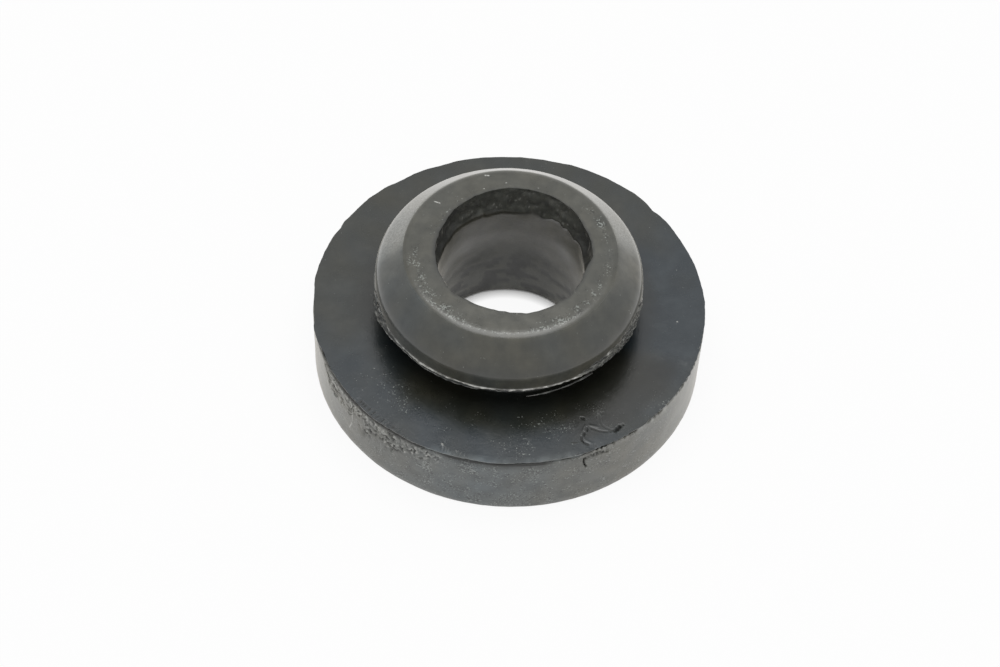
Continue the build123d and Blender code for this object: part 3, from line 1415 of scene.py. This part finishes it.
@dataclass
class Cushion:
    """The whole cushion: its moulding, and all that its mould, a knife and wear did to it.

    The mesh is divided finely on the lip and on the top outside the trimmed radius, in
    four patches, and close to each single mark: once for each margin round it, down to
    the edge length that goes with the margin.
    """

    section: Section
    name: str = "cushion_moulding"
    trimmed_from: float = 19.5
    trimmed_finest: float = 0.2
    mark_margins: tuple[tuple[float, float], ...] = ((0.8, 0.07), (0.4, 0.07), (0.16, 0.06))
    scuffed_wall: Patch = Patch((Zone.WALL,), (198.0, 254.0), (3.6, 7.8), 0.15, 2)
    chattered_brink: Patch = Patch((Zone.WALL, Zone.LIP), (294.0, 353.0), (7.1, 7.8), 0.1, 2)
    torn_flash: Patch = Patch((Zone.BARB, Zone.SKIRT), (188.0, 354.0), (7.8, 13.4), 0.12)
    ragged_flash: Patch = Patch((Zone.BARB, Zone.SKIRT), (0.0, 360.0), (7.8, 13.4), 0.09)

    def build(self) -> bpy.types.Object:
        """Spins the moulding, works it and dresses it in rubber.

        Returns:
            The finished piece.
        """
        section = self.section
        moulding = Moulding(section)
        moulding.spin()
        LOG.info("spun: %d faces", len(moulding.mesh.faces))
        marks = flange_scores(section) + specks(section)
        flash = PartingFlash(section)
        self._refine(moulding, flash, marks)
        moulding.crease()
        LOG.info("refined: %d triangles", sum(len(face.verts) - 2 for face in moulding.mesh.faces))
        skins: list[Work] = [HeadSkin(section), FlangeSkin(section), UsedBore(section)]
        cuts: list[Work] = [TornMouth(section), TrimmedLip(section), flash, *marks]
        moulding.work(skins + cuts)
        Shred(section).build(moulding.mesh)
        cushion = moulding.to_object(self.name)
        cushion.data.materials.append(RubberFinish().build())
        return cushion

    def _refine(self, moulding: Moulding, flash: PartingFlash, marks: list[Score]) -> None:
        """Divides the mesh where it is worked, patch by patch.

        Args:
            moulding: the spun moulding.
            flash: the parting flash, with its ragged stretches.
            marks: the single marks.
        """
        trimmed, ragged = self.trimmed_from, self.ragged_flash
        moulding.refine(
            lambda at: at.zone is Zone.LIP or (at.zone is Zone.TOP and at.radius > trimmed),
            self.trimmed_finest,
        )
        for patch in (self.scuffed_wall, self.chattered_brink, self.torn_flash):
            moulding.refine(patch.holds, patch.finest, patch.passes)
        moulding.refine(lambda at: ragged.holds(at) and at.on(*flash.rags) > 0.2, ragged.finest)
        for margin, finest in self.mark_margins:
            moulding.refine(lambda at: any(mark.near(at, margin) for mark in marks), finest)


@dataclass(frozen=True)
class RubberFinish:
    """Moulded natural rubber filled with carbon black, with its grey bloom.

    The black gives a deep base with a satin sheen, the mould leaves a fine grain, and
    wax and dust on the skin lift it to a warm or bluish grey. Torn faces are duller.
    The bloom's lift and the pale colour also paint a highlight on the cone, and the
    grime colour also paints shade in cuts, cracks and hollows.
    Each pair of colours runs from bluish to brownish, as the tone mark says.
    """

    name: str = "moulded_black_rubber"
    skin: tuple[str, str] = ("#19242b", "#272820")
    film: tuple[str, str] = ("#565f63", "#646155")
    dust: str = "#979c97"
    # The pale colour lays scrapes and a painted highlight, and the grime colour grime and painted shade.
    pale: str = "#b2b2ad"
    grime: str = "#10110c"
    ior: float = 1.6
    sheen: float = 0.52
    sheen_roughness: float = 0.3
    sheen_tint: str = "#fffaf0"
    # The rough mark runs from rubbed to 1, and the roughness from glossy to dull.
    # A mark of 0 is the satin of moulded skin, about 0.13.
    rubbed: float = -0.15
    glossy: float = 0.05
    dull: float = 0.65
    unevenness: float = 0.03
    # The mould's fine grain, and the slower mottle of the skin, by lump size and height in mm.
    grain_size: float = 0.22
    grain_height: float = 0.03
    mottle_size: float = 1.4
    mottle_height: float = 0.06
    # Real dust is finer than a render can show, so its flecks are drawn about three times as coarse.
    fleck_size: float = 0.17
    drift_size: float = 0.9

    def build(self) -> bpy.types.Material:
        """Builds the node material.

        Returns:
            The material.
        """
        material = bpy.data.materials.new(self.name)
        material.use_nodes = True
        tree = material.node_tree
        tree.nodes.clear()
        where = add_node(tree, "ShaderNodeTexCoord").outputs["Object"]
        marks = {}
        for name in MARKS:
            mark = add_node(tree, "ShaderNodeAttribute", attribute_name=name, attribute_type="GEOMETRY")
            marks[name] = mark.outputs["Fac"]
        grain, mottle = (
            add_node(
                tree,
                "ShaderNodeTexNoise",
                {"Vector": where, "Scale": 1 / (size * MM), "Detail": detail, "Roughness": roughness},
            ).outputs["Fac"]
            for size, detail, roughness in ((self.grain_size, 3.0, 0.65), (self.mottle_size, 4.0, 0.6))
        )
        shader = add_node(
            tree,
            "ShaderNodeBsdfPrincipled",
            {
                "Base Color": self._colour(tree, where, marks, grain, mottle),
                "Roughness": self._roughness(tree, marks["rough"], mottle),
                "IOR": self.ior,
                "Sheen Weight": self.sheen,
                "Sheen Roughness": self.sheen_roughness,
                "Sheen Tint": linear(self.sheen_tint),
                "Normal": self._relief(tree, marks["rough"], grain, mottle),
            },
        )
        add_node(tree, "ShaderNodeOutputMaterial", {"Surface": shader.outputs["BSDF"]})
        return material

    def _colour(
        self,
        tree: bpy.types.NodeTree,
        where: bpy.types.NodeSocket,
        marks: dict[str, bpy.types.NodeSocket],
        grain: bpy.types.NodeSocket,
        mottle: bpy.types.NodeSocket,
    ) -> bpy.types.NodeSocket:
        """Lays the film, dust, scrapes and grime over the black, with painted highlight in the film and
        scrapes and painted shade in the grime.

        Args:
            tree: the material's node tree.
            where: object coordinates.
            marks: the vertex marks by name.
            grain: the fine noise.
            mottle: the coarse noise.

        Returns:
            The colour's socket.
        """
        tint = add_node(tree, "ShaderNodeMapRange", {"Value": marks["tone"], "From Min": -1.0}).outputs[0]
        blotch, speck = (
            add_node(
                tree,
                "ShaderNodeMapRange",
                {"Value": value, "From Min": 0.36, "From Max": 0.64, "To Min": low, "To Max": high},
            ).outputs[0]
            for value, low, high in ((mottle, 0.7, 1.26), (grain, 0.4, 1.5))
        )
        film, lighten = (
            add_node(
                tree, "ShaderNodeMath", {0: mark, 1: value}, operation="MULTIPLY", use_clamp=True,
            ).outputs[0]
            for mark, value in ((marks["bloom_and_highlight"], blotch), (marks["pale"], speck))
        )
        under, over = (
            add_node(
                tree, "ShaderNodeMix", {0: tint, 6: linear(cool), 7: linear(warm)}, data_type="RGBA",
            ).outputs[2]
            for cool, warm in (self.skin, self.film)
        )
        light, dark = self._flecks(tree, where, marks["dust"])
        colour = under
        # The film and the scrapes carry painted highlight as well, and the grime painted shade.
        for share, layer in (
            (film, over),
            (dark, linear(self.grime)),
            (light, linear(self.dust)),
            (lighten, linear(self.pale)),
            (marks["grime"], linear(self.grime)),
        ):
            mix = add_node(tree, "ShaderNodeMix", {0: share, 6: colour, 7: layer}, data_type="RGBA")
            colour = mix.outputs[2]
        return colour

    def _flecks(
        self, tree: bpy.types.NodeTree, where: bpy.types.NodeSocket, dust: bpy.types.NodeSocket,
    ) -> list[bpy.types.NodeSocket]:
        """Scatters light flecks and dark pits in drifts, denser where the dust mark is higher.

        The flecks are the tops of a fine noise and the pits are its hollows, and the
        dust mark and the slower noise of the drifts move the level that they must pass.

        Args:
            tree: the material's node tree.
            where: object coordinates.
            dust: the mark.

        Returns:
            Two sockets, for the flecks and the pits, that are high on one and 0 beside it.
        """
        fine, drift = (
            add_node(
                tree,
                "ShaderNodeTexNoise",
                {"Vector": where, "Scale": 1 / (size * MM), "Detail": 1.0, "Roughness": 0.5},
            ).outputs["Fac"]
            for size in (self.fleck_size, self.drift_size)
        )
        hollow = add_node(tree, "ShaderNodeMath", {0: 1.0, 1: fine}, operation="SUBTRACT").outputs[0]
        crowd = -0.96
        for layer, weight in ((dust, 0.22), (drift, 0.35)):
            sums = add_node(tree, "ShaderNodeMath", {0: layer, 1: weight, 2: crowd}, operation="MULTIPLY_ADD")
            crowd = sums.outputs[0]
        sockets = []
        for height, most in ((fine, 0.6), (hollow, 0.7)):
            level = add_node(tree, "ShaderNodeMath", {0: crowd, 1: height}, operation="ADD").outputs[0]
            fleck = add_node(
                tree,
                "ShaderNodeMapRange",
                {"Value": level, "From Min": 0.0, "From Max": 0.1, "To Max": most},
                interpolation_type="SMOOTHSTEP",
            )
            sockets.append(fleck.outputs[0])
        return sockets

    def _roughness(
        self, tree: bpy.types.NodeTree, rough: bpy.types.NodeSocket, mottle: bpy.types.NodeSocket,
    ) -> bpy.types.NodeSocket:
        """Goes from satin moulded skin to dull torn rubber, with slight unevenness.

        Args:
            tree: the material's node tree.
            rough: the rough mark.
            mottle: the coarse noise.

        Returns:
            The roughness's socket.
        """
        base = add_node(
            tree,
            "ShaderNodeMapRange",
            {"Value": rough, "From Min": self.rubbed, "To Min": self.glossy, "To Max": self.dull},
        ).outputs[0]
        shift = add_node(
            tree,
            "ShaderNodeMapRange",
            {
                "Value": mottle,
                "From Min": 0.3,
                "From Max": 0.7,
                "To Min": -self.unevenness,
                "To Max": self.unevenness,
            },
        ).outputs[0]
        return add_node(tree, "ShaderNodeMath", {0: base, 1: shift}, operation="ADD").outputs[0]

    def _relief(
        self,
        tree: bpy.types.NodeTree,
        rough: bpy.types.NodeSocket,
        grain: bpy.types.NodeSocket,
        mottle: bpy.types.NodeSocket,
    ) -> bpy.types.NodeSocket:
        """Adds the mould's fine grain, deeper where the rubber is torn.

        Args:
            tree: the material's node tree.
            rough: the rough mark.
            grain: the fine noise.
            mottle: the coarse noise.

        Returns:
            The normal's socket.
        """
        depth = add_node(
            tree,
            "ShaderNodeMapRange",
            {"Value": rough, "From Min": self.rubbed, "To Min": 0.05, "To Max": 0.9},
        ).outputs[0]
        slow = add_node(
            tree, "ShaderNodeBump", {"Height": mottle, "Strength": 0.3, "Distance": self.mottle_height * MM},
        ).outputs["Normal"]
        return add_node(
            tree,
            "ShaderNodeBump",
            {"Height": grain, "Strength": depth, "Distance": self.grain_height * MM, "Normal": slow},
        ).outputs["Normal"]


@dataclass(frozen=True)
class Studio:
    """Plain white sweep, a wide soft lamp overhead and the camera. Its own lengths are metres."""

    floor_size: float = 3.0
    floor_colour: str = "#f8f8f8"
    white: str = "#fefefe"
    # The cushion's foot is a ring whose middle lies this far from its axis, in mm. To the eye the floor is
    # plain white by the first share up to the first distance from there, and by the second share from the
    # second distance on. So it darkens close to the foot inside the bore.
    foot_middle: float = 13.2
    foot_shade: tuple[float, float] = (5.05, 6.25)
    white_share: tuple[float, float] = (0.1, 0.93)
    lamp_height: float = 0.5
    lamp_size: float = 0.5
    lamp_radiance: float = 3.0
    world_level: float = 0.4
    camera_distance: float = 0.3
    camera_near: float = 0.01
    camera_elevation: float = 51.85
    camera_roll: float = 3.0
    camera_target: tuple[float, float, float] = (-0.00079, 0.0, 0.00285)
    lens: float = 105.3

    def build(self) -> None:
        """Builds the floor, the world, the lamp and the camera."""
        self._floor()
        self._world()
        self._lamp()
        self._camera()
        bpy.context.scene.view_settings.view_transform = "Standard"

    def _floor(self) -> None:
        """Lays a white floor that keeps the object's faint shadow."""
        mesh = bmesh.new()
        bmesh.ops.create_grid(mesh, x_segments=1, y_segments=1, size=self.floor_size / 2)
        data = bpy.data.meshes.new("studio_floor")
        mesh.to_mesh(data)
        mesh.free()
        data.materials.append(self._floor_material())
        floor = bpy.data.objects.new("studio_floor", data)
        bpy.context.scene.collection.objects.link(floor)

    def _floor_material(self) -> bpy.types.Material:
        """Mixes the floor's plain white with a matt white that takes the shadow.

        Returns:
            The material.
        """
        material = bpy.data.materials.new("white_sweep")
        material.use_nodes = True
        tree = material.node_tree
        tree.nodes.clear()
        matt = add_node(tree, "ShaderNodeBsdfDiffuse", {"Color": linear(self.floor_colour)})
        plain = add_node(tree, "ShaderNodeEmission", {"Color": linear(self.white), "Strength": 1.0})
        where = add_node(tree, "ShaderNodeTexCoord").outputs["Object"]
        radius = add_node(tree, "ShaderNodeVectorMath", {0: where}, operation="LENGTH").outputs["Value"]
        off = add_node(tree, "ShaderNodeMath", {0: radius, 1: self.foot_middle * MM}, operation="SUBTRACT")
        away = add_node(tree, "ShaderNodeMath", {0: off.outputs[0]}, operation="ABSOLUTE").outputs[0]
        (close, clear), (least, most) = self.foot_shade, self.white_share
        white = add_node(
            tree,
            "ShaderNodeMapRange",
            {"Value": away, "From Min": close * MM, "From Max": clear * MM, "To Min": least, "To Max": most},
        ).outputs[0]
        seen = self._seen_rays(tree)
        share = add_node(tree, "ShaderNodeMath", {0: seen, 1: white}, operation="MULTIPLY").outputs[0]
        mixed = add_node(tree, "ShaderNodeMixShader", {0: share, 1: matt.outputs[0], 2: plain.outputs[0]})
        add_node(tree, "ShaderNodeOutputMaterial", {"Surface": mixed.outputs[0]})
        return material

    @staticmethod
    def _seen_rays(tree: bpy.types.NodeTree) -> bpy.types.NodeSocket:
        """Sorts the rays that see the studio from those that light the object.

        Args:
            tree: the node tree to sort them in.

        Returns:
            A socket that is 1 for camera, glossy and transmitted rays, and 0 for the rest.
        """
        path = add_node(tree, "ShaderNodeLightPath").outputs
        seen = path["Is Camera Ray"]
        for kind in ("Is Glossy Ray", "Is Transmission Ray"):
            seen = add_node(tree, "ShaderNodeMath", {0: seen, 1: path[kind]}, operation="MAXIMUM").outputs[0]
        return seen

    def _world(self) -> None:
        """Lights the object evenly from all round, and shows white to the eye."""
        world = bpy.data.worlds.new("white_room")
        bpy.context.scene.world = world
        world.use_nodes = True
        tree = world.node_tree
        tree.nodes.clear()
        seen = self._seen_rays(tree)
        strength = add_node(
            tree, "ShaderNodeMapRange", {"Value": seen, "To Min": self.world_level, "To Max": 1.0},
        ).outputs[0]
        sky = add_node(tree, "ShaderNodeBackground", {"Color": linear(self.white), "Strength": strength})
        add_node(tree, "ShaderNodeOutputWorld", {"Surface": sky.outputs[0]})

    def _lamp(self) -> None:
        """Hangs a round soft lamp over the object."""
        lamp = bpy.data.lights.new("overhead_lamp", "AREA")
        lamp.shape = "DISK"
        lamp.size = self.lamp_size
        area = math.pi * (self.lamp_size / 2) ** 2
        lamp.energy = self.lamp_radiance * math.pi * area
        holder = bpy.data.objects.new("overhead_lamp", lamp)
        holder.location = (0.0, 0.0, self.lamp_height)
        bpy.context.scene.collection.objects.link(holder)

    def _camera(self) -> None:
        """Stands the camera in front of the object, looking down at it."""
        camera = bpy.data.cameras.new("camera")
        camera.lens = self.lens
        camera.clip_start = self.camera_near
        holder = bpy.data.objects.new("camera", camera)
        bpy.context.scene.collection.objects.link(holder)
        rise = math.radians(self.camera_elevation)
        target = Vector(self.camera_target)
        away = Vector((0.0, -math.cos(rise), math.sin(rise))) * self.camera_distance
        tilt = Matrix.Rotation(math.pi / 2 - rise, 4, "X")
        roll = Matrix.Rotation(math.radians(self.camera_roll), 4, "Z")
        holder.matrix_world = Matrix.Translation(target + away) @ tilt @ roll
        bpy.context.scene.camera = holder


def main() -> None:
    """Builds the cushion and its studio, and notes the sizes before and after."""
    logging.basicConfig(level=logging.INFO)
    low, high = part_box(NODE)
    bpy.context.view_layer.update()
    section = Section(flange_radius=(high.x - low.x) / 2 / MM, height=(high.z - low.z) / MM)
    cushion = Cushion(section).build()
    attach(cushion, "root")
    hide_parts(NODE)
    LOG.info("%s: %d faces", cushion.name, len(cushion.data.polygons))
    Studio().build()


if __name__ == "__main__":
    main()
